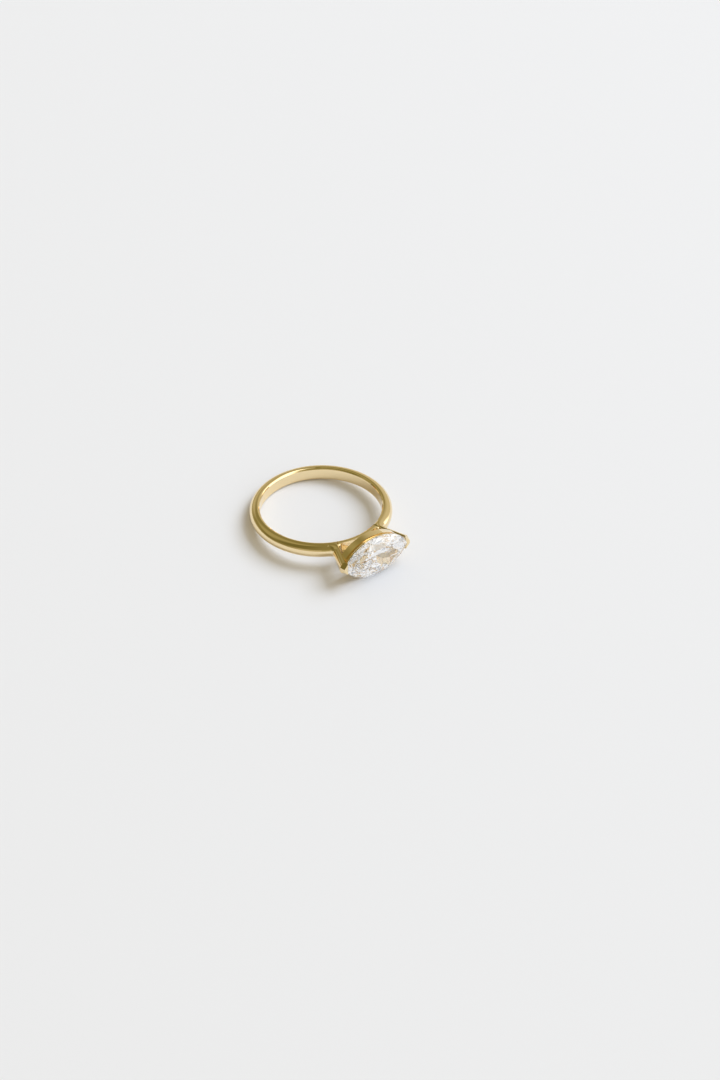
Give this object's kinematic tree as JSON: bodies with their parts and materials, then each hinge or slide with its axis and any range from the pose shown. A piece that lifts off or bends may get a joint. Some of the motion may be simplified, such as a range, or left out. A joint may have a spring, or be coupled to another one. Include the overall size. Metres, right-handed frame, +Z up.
{
  "type": "solitaire engagement ring",
  "caption": "Yellow-gold engagement ring with a half-round band and a marquise diamond set along the band in an open boat-shaped collet between two arms.",
  "frame": {"origin": "centre of the bounding box's base, on the surface the ring lies on", "axes": "+Z up from that surface; -Y towards the stone; X along the stone"},
  "size_m": [0.0194, 0.0232, 0.006],
  "materials": {
    "gold": "polished yellow gold",
    "diamond": "polished facets, colourless"
  },
  "bodies": {
    "root": {"gold_ring": "gold", "marquise_stone": "diamond"}
  },
  "joints": []
}
